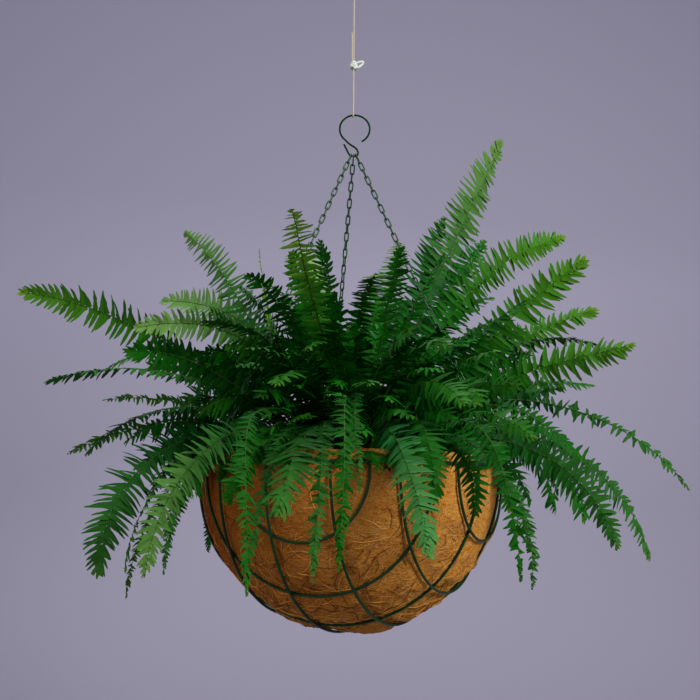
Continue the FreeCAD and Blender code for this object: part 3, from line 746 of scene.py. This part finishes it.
STEP_MIN, STEP_SHARE = 4.0, 0.058    # from one leaflet to the next on the same side: wider fronds have them further apart
FULLER = 1.3              # a frond with its leaflets is wider than the CAD's plain blade
PROFILE_U = (0.0, 0.05, 0.10, 0.20, 0.34, 0.60, 0.78, 0.90, 0.96, 1.0)
PROFILE_W = (0.0, 0.0, 0.45, 0.80, 1.0, 0.98, 0.84, 0.56, 0.32, 0.10)
LEAF_U = np.array([0.0, 0.08, 0.24, 0.42, 0.60, 0.78, 0.92, 1.0])
LEAF_W = np.array([0.80, 1.16, 0.84, 0.70, 0.60, 0.46, 0.26, 0.03])    # eared at the foot, then a long blade
COARSE = np.array([0, 1, 3, 5, 7])                                      # fewer cuts for leaflets in the crowd


def crown_point(a, e):
    n = np.array([cos(e) * cos(a), cos(e) * sin(a), sin(e)])
    k = sqrt((CROWN_R * n[0]) ** 2 + (CROWN_R * n[1]) ** 2 + (CROWN_H * n[2]) ** 2)
    return np.array([CROWN_R ** 2 * n[0] / k, CROWN_R ** 2 * n[1] / k, CROWN_Z + CROWN_H ** 2 * n[2] / k]), n


def frond_line(azimuth, launch, end, length, sweep, power, start=None, n=70):
    """Points of the stalk above the dome, and the level direction across it at each."""
    a, e0, e1, b = [radians(x) for x in (azimuth, launch, end, sweep)]
    p = crown_point(a, e0)[0] if start is None else np.array(start, float)
    pts, across = [p], [np.array([-sin(a), cos(a), 0.0])]
    for k in range(n):
        u = (k + 0.5) / n
        e = e0 + (e1 - e0) * u ** power
        h = a + b * u
        p = p + np.array([cos(e) * cos(h), cos(e) * sin(h), sin(e)]) * (length / n)
        pts.append(p)
        across.append(np.array([-sin(h), cos(h), 0.0]))
    return np.array(pts), np.array(across)


def stalk_foot(p0, t0, rng):
    """The stalk's way down from where it leaves the dome to the soil."""
    r = hypot(p0[0], p0[1])
    a = atan2(p0[1], p0[0]) + rng.normal(0, 0.15)
    foot_r = min(r * 0.45, 60.0) * rng.uniform(0.5, 1.0)
    foot = np.array([foot_r * cos(a), foot_r * sin(a), SOIL_TOP])
    bend = p0 - t0 * 0.55 * np.linalg.norm(p0 - foot)
    bend[2] = max(bend[2], SOIL_TOP + 8.0)
    s = np.linspace(0, 1, 12)[:-1, None]
    return foot * (1 - s) ** 2 + bend * 2 * s * (1 - s) + p0 * s * s


class Foliage:
    """Collects leaflets and stalks into one mesh with its shading attributes."""

    def __init__(self, coarse=False):
        self.coarse = coarse
        self.v, self.f, self.m, self.att, self.n = [], [], [], [], 0

    def leaflets(self, base, along, out, normal, length, width, rand, age, rng):
        """Many leaflets at once; each argument is an array with one row per leaflet."""
        cuts = COARSE if self.coarse else np.arange(len(LEAF_U))
        k, cols = len(base), len(cuts)
        u = LEAF_U[cuts][None, :]
        wave = 1.0 + rng.uniform(-0.2, 0.2, (k, cols))
        w = LEAF_W[cuts][None, :] * wave * width[:, None] / 2.0
        hook = rng.uniform(0.06, 0.22, k)[:, None] * length[:, None] * u ** 2
        drop = rng.uniform(0.0, 0.22, k)[:, None] * length[:, None] * u ** 2
        ripple = rng.uniform(-0.25, 0.25, (k, cols)) * 0.6
        mid = (base[:, None, :] + out[:, None, :] * (u * length[:, None])[:, :, None]
               + along[:, None, :] * hook[:, :, None] - normal[:, None, :] * drop[:, :, None])
        fold = 0.22 * w + ripple
        rows = []
        for side in (-1, 0, 1):
            q = mid + along[:, None, :] * (side * w)[:, :, None] + normal[:, None, :] * (abs(side) * fold)[:, :, None]
            rows.append(q)
        grid = np.stack(rows, 2).reshape(k, cols * 3, 3)
        quad = []
        for i in range(cols - 1):
            for s in (0, 1):
                a = i * 3 + s
                quad.append((a, a + 3, a + 4, a + 1))
        quad = np.array(quad)
        self.v.append(grid.reshape(-1, 3))
        self.f.append((quad[None] + (np.arange(k) * cols * 3)[:, None, None] + self.n).reshape(-1, 4))
        self.m.append(np.zeros(k * len(quad), int))
        edge = np.tile(np.array([1.0, 0.0, 1.0]), cols)
        self.att.append(np.stack([np.repeat(rand, cols * 3), np.repeat(age, cols * 3), np.tile(edge, k)], 1))
        self.n += k * cols * 3

    def stalk(self, pts, radii, ages, sides=6):
        tan, n1, n2 = carried_frames(pts)
        b = np.arange(sides) * 2 * pi / sides
        ring = n1[:, None, :] * np.cos(b)[None, :, None] + n2[:, None, :] * np.sin(b)[None, :, None]
        v = pts[:, None, :] + ring * radii[:, None, None]
        k = len(pts)
        i, j = np.meshgrid(np.arange(k - 1), np.arange(sides), indexing="ij")
        a, c = i * sides + j, i * sides + (j + 1) % sides
        f = np.stack([a, c, c + sides, a + sides], 2).reshape(-1, 4) + self.n
        self.v.append(v.reshape(-1, 3))
        self.f.append(f)
        self.m.append(np.ones(len(f), int))
        self.att.append(np.stack([np.full(k * sides, 0.5), np.repeat(ages, sides), np.full(k * sides, 0.5)], 1))
        self.n += k * sides

    def frond(self, azimuth, launch, end, length, sweep, power, width, roll, rng,
              start=None, thin=1.0, bare=0.08, pitch=1.0, dense=1.0, ragged=0.0):
        """One frond: thin scales its stalk, bare is the share without leaflets; the rest is as in LOOKS."""
        pts, across = frond_line(azimuth, launch, end, length, sweep, power, start)
        u = np.linspace(0, 1, len(pts))
        tan = np.gradient(pts, axis=0)
        tan /= np.linalg.norm(tan, axis=1)[:, None]
        level = across - tan * (across * tan).sum(1)[:, None]
        level /= np.linalg.norm(level, axis=1)[:, None]
        high = np.cross(tan, level)
        r = np.radians(roll + rng.normal(0, 6) + 14.0 * np.sin(u * 5.0 + rng.uniform(0, 6)))
        side = level * np.cos(r)[:, None] + high * np.sin(r)[:, None]
        normal = np.cross(tan, side)
        # a slow wander, so that no stalk is a perfect arc
        sway = (3.0 + 6.0 * ragged) * np.sin(u * 6.0 + rng.uniform(0, 6)) * u * (1 - u) * 2.0
        pts = pts + side * sway[:, None]
        radii = (1.05 - 0.8 * u) * thin * (0.75 + length / 1200.0)
        low = stalk_foot(pts[0], tan[0], rng)
        self.stalk(np.vstack([low, pts]), np.concatenate([np.full(len(low), radii[0] * 1.1), radii]),
                   np.concatenate([np.zeros(len(low)), u]))
        step = (STEP_MIN + STEP_SHARE * width * FULLER) * pitch
        pairs = int(length * (1 - bare) / step)
        k = np.arange(pairs * 2)
        # leaflets alternate left and right up the stalk, closer together at the tip
        f = (k + 0.5) / (pairs * 2)
        f = bare + (1 - bare) * (1 - (1 - f) ** 1.12)
        f = np.clip(f + rng.normal(0, 0.0018, len(f)), 0, 0.998)
        sgn = np.where(k % 2 == 0, 1.0, -1.0)
        keep = rng.uniform(0, 1, len(f)) > 0.02 + 0.16 * ragged
        f, sgn = f[keep], sgn[keep]
        x = f * (len(pts) - 1)
        i0 = np.minimum(x.astype(int), len(pts) - 2)
        w_ = (x - i0)[:, None]

        def at(a):
            return a[i0] * (1 - w_) + a[i0 + 1] * w_

        P, T, S, N = at(pts), at(tan), at(side), at(normal)
        half = np.interp(f, PROFILE_U, PROFILE_W) * width * FULLER / 2.0
        half *= rng.uniform(0.88 - 0.4 * ragged, 1.08, len(f))
        lean = np.radians(np.interp(f, (0.0, 0.3, 0.7, 0.9, 1.0), (-4.0, 2.0, 9.0, 24.0, 60.0))
                          + rng.normal(0, 5.0 + 16.0 * ragged, len(f)))
        droop = np.radians(rng.normal(8.0, 6.0, len(f)))
        out = S * sgn[:, None] * np.cos(droop)[:, None] - N * np.sin(droop)[:, None]
        D = out * np.cos(lean)[:, None] + T * np.sin(lean)[:, None]
        A = T * np.cos(lean)[:, None] - out * np.sin(lean)[:, None]
        twist = np.radians(rng.normal(0, 9.0 + 22.0 * ragged, len(f)))
        up_n = np.cross(D, A) * (sgn * -1.0)[:, None]
        up_n /= np.linalg.norm(up_n, axis=1)[:, None]
        A2 = A * np.cos(twist)[:, None] + up_n * np.sin(twist)[:, None]
        N2 = up_n * np.cos(twist)[:, None] - A * np.sin(twist)[:, None]
        length_ = np.maximum(half / np.maximum(np.cos(lean), 0.6), 1.2)
        wide = np.minimum(step * dense, 0.42 * length_ + 1.4) * rng.uniform(0.88, 1.12, len(f))
        self.leaflets(P, A2, D, N2, length_, wide, rng.uniform(0, 1, len(f)), f, rng)
        return pts

    def mesh(self, name):
        m = bpy.data.meshes.new(name)
        v, f = np.vstack(self.v), np.vstack(self.f)
        v = v * MM
        v[:, 2] += RIM_Z * MM
        m.vertices.add(len(v))
        m.vertices.foreach_set("co", v.ravel())
        m.loops.add(f.size)
        m.loops.foreach_set("vertex_index", f.ravel())
        m.polygons.add(len(f))
        m.polygons.foreach_set("loop_start", np.arange(0, f.size, 4))
        m.update(calc_edges=True)
        m.polygons.foreach_set("material_index", np.concatenate(self.m))
        m.polygons.foreach_set("use_smooth", np.ones(len(f), bool))
        att = np.vstack(self.att)
        for k, label in enumerate(("leaf_rand", "leaf_age", "leaf_across")):
            a = m.attributes.new(label, "FLOAT", "POINT")
            a.data.foreach_set("value", att[:, k])
        m.validate()
        return m


def add_leaves(name, part, blade):
    return add_object(name, part.mesh(name), "basket", [blade, stem_mat])


for number, (azimuth, launch, end, length, sweep, power, width, roll) in enumerate(FRONDS, 1):
    rng = np.random.default_rng(99 + number)
    fern = Foliage()
    width, roll, pitch, dense, ragged = LOOKS.get(number, (width, roll, 1.0, 1.0, 0.0))
    fern.frond(azimuth, launch, end, length, sweep, power, width, roll, rng, pitch=pitch, dense=dense, ragged=ragged)
    blade = next((m for m, numbers in SHADES if number in numbers), leaf)
    piece = add_leaves("frond_%02d_leaves" % number, fern, blade)
    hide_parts("frond_%02d" % number)


# The CAD's smaller blades, which its rule places clear of the table's fronds, of the chains and of each other:
# seed, tries, launch, droop, length, width, length in front (where the basket stays in view)
LAYERS = (
    (9, 90, (22, 50), (40, 85), (190, 290), (30, 42), (110, 160)),
    (11, 90, (10, 24), (50, 100), (130, 230), (28, 42), (70, 105)),
    (7, 80, (50, 84), (20, 70), (110, 175), (28, 40), (110, 175)),
    (10, 110, (14, 60), (40, 80), (95, 160), (30, 42), (80, 130)),
)
FRONT_AZ, FRONT_HALF = -90.0, 62.0
GOLDEN = 0.381966
SPACING = 4.5
CLEAR = 8.2
LINK_B = 3.3
STEM_W = 3.0
BLADE = ((0.0, 0.0), (0.08, 0.0), (0.16, 0.45), (0.25, 0.8), (0.38, 1.0), (0.55, 0.92), (0.75, 0.66), (0.9, 0.34),
         (1.0, 0.0))


class Space:
    """The room that blades and chains take up, as points in a grid of cubes."""

    def __init__(self, size):
        self.size, self.cells = size, {}

    def key(self, p):
        return tuple(int(floor(c / self.size)) for c in p)

    def add(self, points):
        for p in points:
            self.cells.setdefault(self.key(p), []).append(p)

    def near(self, points):
        """Whether any of the points lies within one cube's size of a point that is taken."""
        limit = self.size ** 2
        for p in points:
            x, y, z = self.key(p)
            for i in (x - 1, x, x + 1):
                for j in (y - 1, y, y + 1):
                    for k in (z - 1, z, z + 1):
                        for q in self.cells.get((i, j, k), ()):
                            if (p[0] - q[0]) ** 2 + (p[1] - q[1]) ** 2 + (p[2] - q[2]) ** 2 < limit:
                                return True
        return False


def profile_width(u, w):
    for (u0, f0), (u1, f1) in zip(BLADE, BLADE[1:]):
        if u <= u1:
            return max(STEM_W, w * (f0 + (f1 - f0) * (u - u0) / (u1 - u0)))
    return STEM_W


def blade_points(azimuth, launch, end, length, sweep, power, width, roll):
    """Points all over a frond's blade, heights above the rim plane."""
    a, e0, e1, b, r = [radians(x) for x in (azimuth, launch, end, sweep, roll)]
    nx, ny, nz = cos(e0) * cos(a), cos(e0) * sin(a), sin(e0)
    k = sqrt((CROWN_R * nx) ** 2 + (CROWN_R * ny) ** 2 + (CROWN_H * nz) ** 2)
    x, y, z = CROWN_R ** 2 * nx / k, CROWN_R ** 2 * ny / k, CROWN_Z + CROWN_H ** 2 * nz / k
    n = int(length / SPACING)
    out = []
    for i in range(n):
        u = (i + 0.5) / n
        e, h = e0 + (e1 - e0) * u ** power, a + b * u
        x += cos(e) * cos(h) * length / n
        y += cos(e) * sin(h) * length / n
        z += sin(e) * length / n
        side = (-sin(h) * cos(r) - sin(e) * cos(h) * sin(r),
                cos(h) * cos(r) - sin(e) * sin(h) * sin(r), cos(e) * sin(r))
        w = profile_width(u, width) / 2.0
        m = max(1, int(ceil(w / SPACING)))
        for j in range(-m, m + 1):
            out.append((x + side[0] * w * j / m, y + side[1] * w * j / m, z + side[2] * w * j / m))
    return out


def clear_of_bowl(points):
    for x, y, z in points:
        r = hypot(x, y)
        if z < COIR_PROUD + CLEAR and r < RIM_R + CLEAR and (z < SOIL_TOP or r > RIM_R - COIR_T - CLEAR):
            return False
        if z < 0 and sqrt(r * r + (z + BOWL_DROP) ** 2) < RIM_R + CLEAR:
            return False
    return True


def chain_points():
    """Points round the three chains' lines, from the eye's bar to the rim."""
    out = []
    n = int(hypot(TOP_Z, RIM_R) / SPACING)
    for azimuth in CHAIN_AZ:
        a = radians(azimuth)
        for k in range(n + 1):
            u = k / n
            x, y, z = RIM_R * cos(a) * u, RIM_R * sin(a) * u, TOP_Z * (1 - u)
            out += [(x + dx * LINK_B, y + dy * LINK_B, z) for dx, dy in ((1, 0), (-1, 0), (0, 1), (0, -1))]
    return out


def fill_layers():
    """The smaller fronds' rows for each layer, in the FRONDS table's order of values."""
    space = Space(CLEAR)
    space.add(chain_points())
    for row in FRONDS:
        space.add(blade_points(*row))
    layers = []
    for seed, tries, launch, droop, length, width, front in LAYERS:
        dice = random.Random(seed)
        rows = []
        for k in range(tries):
            az = -180 + 360 * (k * GOLDEN % 1)
            e = dice.uniform(*launch)
            lean, sweep, power = dice.uniform(*droop), dice.uniform(-35, 35), dice.uniform(1.0, 1.6)
            wide, roll, share = dice.uniform(*width), dice.uniform(-20, 60), dice.random()
            ahead = abs((az - FRONT_AZ + 180) % 360 - 180) < FRONT_HALF
            low, high = front if ahead else length
            row = (az, e, e - lean, low + (high - low) * share, sweep, power, wide, roll)
            points = blade_points(*row)
            if clear_of_bowl(points) and not space.near(points):
                space.add(points)
                rows.append(row)
        layers.append(rows)
    return layers


# beside each long frond, one or two more like it, a little shorter, and darker with painted shade
beside = Foliage(coarse=True)
rng = np.random.default_rng(40)
FRONT_FRONDS = 22, 27
for number, (azimuth, launch, end, length, sweep, power, width, roll) in enumerate(FRONDS, 1):
    if FRONT_FRONDS[0] <= number <= FRONT_FRONDS[1]:
        continue
    for turn in (-1, 1) if length > 240 else (rng.choice((-1, 1)),):
        beside.frond(azimuth + turn * rng.uniform(5, 9), launch + rng.uniform(-7, 5), end - rng.uniform(0, 14),
                     length * rng.uniform(0.48, 0.66),
                     sweep + rng.uniform(-6, 6), power, width * rng.uniform(0.85, 1.0), roll + rng.uniform(-20, 10), rng)
add_leaves("fern_beside_leaves", beside, leaf_dark)

# the skirt, upright and inner layers take the darker leaf, which is painted shade among the other fronds
for label, blade, rows, seed in zip(("middle", "skirt", "upright", "inner"), (leaf_mid, leaf_dark, leaf_dark, leaf_dark),
                                    fill_layers(), (21, 22, 23, 24)):
    part = Foliage()
    rng = np.random.default_rng(seed)
    for row in rows:
        part.frond(*row, rng)
    print("fern", label, len(rows))
    add_leaves("fern_%s_leaves" % label, part, blade)


# thin runners with small leaflets, in the table's order of values
RUNNERS = (
    (-126, 14, -92, 236, 0, 1.0, 17, 0),
    (-138, 12, -88, 236, 6, 1.0, 18, 20),
    (-56, 12, -96, 258, -14, 1.2, 17, 20),
    (-107, 16, -86, 225, 0, 1.0, 15, 0),
    (-96, 16, -92, 275, 3, 1.2, 17, 0),
    (-91, 24, -82, 190, 0, 1.0, 15, 0),
    (-89, 30, -84, 215, 2, 1.0, 13, 0),
)
runners = Foliage()
rng = np.random.default_rng(60)
for row in RUNNERS:
    runners.frond(*row, rng, thin=0.7, bare=0.2, pitch=0.55, dense=1.3, ragged=0.7)
young = Foliage()
for row in ((174, 62, 84, 190, 0, 1.0, 14, 20), (178, 60, 86, 150, -6, 1.0, 16, 30)):
    young.frond(*row, rng, thin=0.7, ragged=0.3)
add_leaves("fern_young_leaves", young, leaf_bright)
add_leaves("fern_runner_leaves", runners, leaf_shaded)


def off(a, b):
    """The angle between two azimuths, in degrees."""
    return abs((a - b + 180) % 360 - 180)


def heart(name, seed, count, launch, droop, length, width, inset, blade, arc=(-180, 180)):
    """Short young fronds crowded close about the dome."""
    part = Foliage(coarse=True)
    rng = np.random.default_rng(seed)
    for k in range(count):
        a = arc[0] + (arc[1] - arc[0]) * (k + rng.uniform(-0.45, 0.45)) / count
        e = rng.uniform(*launch)
        if min(off(a, c) for c in CHAIN_AZ) < 3:
            continue
        start = crown_point(radians(a), radians(e))[0] * inset
        part.frond(a, e, e - rng.uniform(*droop), rng.uniform(*length), rng.uniform(-35, 35), rng.uniform(1.0, 1.6),
                   rng.uniform(*width), rng.uniform(-20, 60), rng, start=start, bare=0.05)
    add_leaves(name, part, blade)


def core_mesh():
    """The thatch of old stalks and dead leaflets in the middle, which no light gets through; its near-black green is
    painted shade of the crowded heart.
    """
    rings, around = 40, 96
    verts = []
    for i in range(rings + 1):
        e = pi / 2 * (1 - i / rings)
        for j in range(around):
            a = 2 * pi * j / around
            d = Vector((cos(e) * cos(a), cos(e) * sin(a), sin(e)))
            k = 0.74 + 0.10 * noise.noise(d * 3.0) + 0.07 * noise.noise(d * 9.0) + 0.05 * noise.noise(d * 22.0)
            z = CROWN_Z + CROWN_H * k * d.z if i < rings else SOIL_TOP
            verts.append((CROWN_R * k * d.x * MM, CROWN_R * k * d.y * MM, up(z) * MM))
    return make_mesh("fern_core_thatch", verts, ring_faces(rings + 1, around, flip=True))


def thatch_material():
    n = Nodes("fern_thatch")
    p = n.coords((1, 1, 0.35))
    straw = n.noise(p, 260.0, 6.0, 0.7, 1.5)
    # near-black greens: painted shade of the fern's crowded middle
    colour = n.ramp(straw, (0.35, srgb(3, 40, 6)), (0.55, srgb(6, 56, 8)), (0.7, srgb(18, 62, 14)))
    return n.finish(colour, 0.9, straw, 0.9, 0.003, Specular_IOR_Level=0.1)


core = add_object("fern_core_thatch", core_mesh(), "basket", thatch_material())
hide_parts("fern_crown")
heart("fern_heart_leaves", 8, 72, (20, 84), (30, 80), (84, 136), (30, 42), 0.8, leaf_heart)
heart("fern_heart_low_leaves", 10, 60, (10, 50), (30, 80), (70, 105), (28, 40), 0.88, leaf_heart)
heart("fern_rim_leaves", 12, 20, (2, 22), (25, 62), (66, 104), (20, 28), 0.92, leaf_mid, (-178, -84))
heart("fern_rim_low_leaves", 14, 34, (0, 14), (30, 66), (66, 98), (22, 30), 0.94, leaf_dark, (-176, -66))
heart("fern_rim_far_leaves", 13, 7, (4, 24), (25, 62), (60, 96), (14, 20), 0.92, leaf_shaded, (-32, -4))


# ---- floor, light ----
def stage_material():
    n = Nodes("stage")
    place = n.add("ShaderNodeSeparateXYZ")
    n.link(n.coords(), place.inputs[0])
    back = n.times(place.outputs[1], 0.175)
    high = n.times(n.between(place.outputs[2], -0.75, 0.65), 0.46)
    return n.finish(n.mix(n.maths("ADD", back, high), srgb(139, 135, 151), srgb(203, 198, 216)), 0.95)


def make_stage():
    """A pale floor that curves up into a backdrop."""
    floor_z, front, back, bend, high, half = -1.45, -5.0, 3.4, 1.6, 6.0, 8.0
    prof = [(front, floor_z), (back - bend, floor_z)]
    for k in range(1, 13):
        a = -pi / 2 + pi / 2 * k / 12
        prof.append((back - bend + bend * cos(a), floor_z + bend + bend * sin(a)))
    prof.append((back, high))
    verts = []
    for y, z in prof:
        verts += [(-half, y, z), (half, y, z)]
    faces = [(2 * i, 2 * i + 1, 2 * i + 3, 2 * i + 2) for i in range(len(prof) - 1)]
    mesh = make_mesh("floor", verts, faces)
    o = new_object("floor", mesh)
    mesh.materials.append(stage_material())


make_stage()


TARGET = (0, 0, RIM_Z * MM)


def area_light(name, at, size, power, colour):
    data = bpy.data.lights.new(name, "AREA")
    data.shape, data.size, data.energy, data.color = "DISK", size, power, colour
    o = new_object(name, data)
    o.location = at
    o.rotation_euler = (Vector(TARGET) - Vector(at)).to_track_quat("-Z", "Y").to_euler()


area_light("key", (1.9, -1.9, 0.7), 1.0, 84.0, (1.0, 0.97, 0.92))
area_light("fill", (-2.4, -1.6, 0.1), 1.8, 26.0, (0.97, 0.98, 1.0))
area_light("top", (0.2, 0.5, 1.6), 1.4, 32.0, (1.0, 1.0, 0.98))
area_light("back", (-0.9, 2.4, 1.0), 2.4, 8.0, (1.0, 1.0, 1.0))
world = bpy.data.worlds.new("world")
world.use_nodes = True
world.node_tree.nodes["Background"].inputs[0].default_value = srgb(176, 178, 196)
world.node_tree.nodes["Background"].inputs[1].default_value = 0.55
bpy.context.scene.world = world
bpy.context.scene.view_settings.view_transform = "Standard"
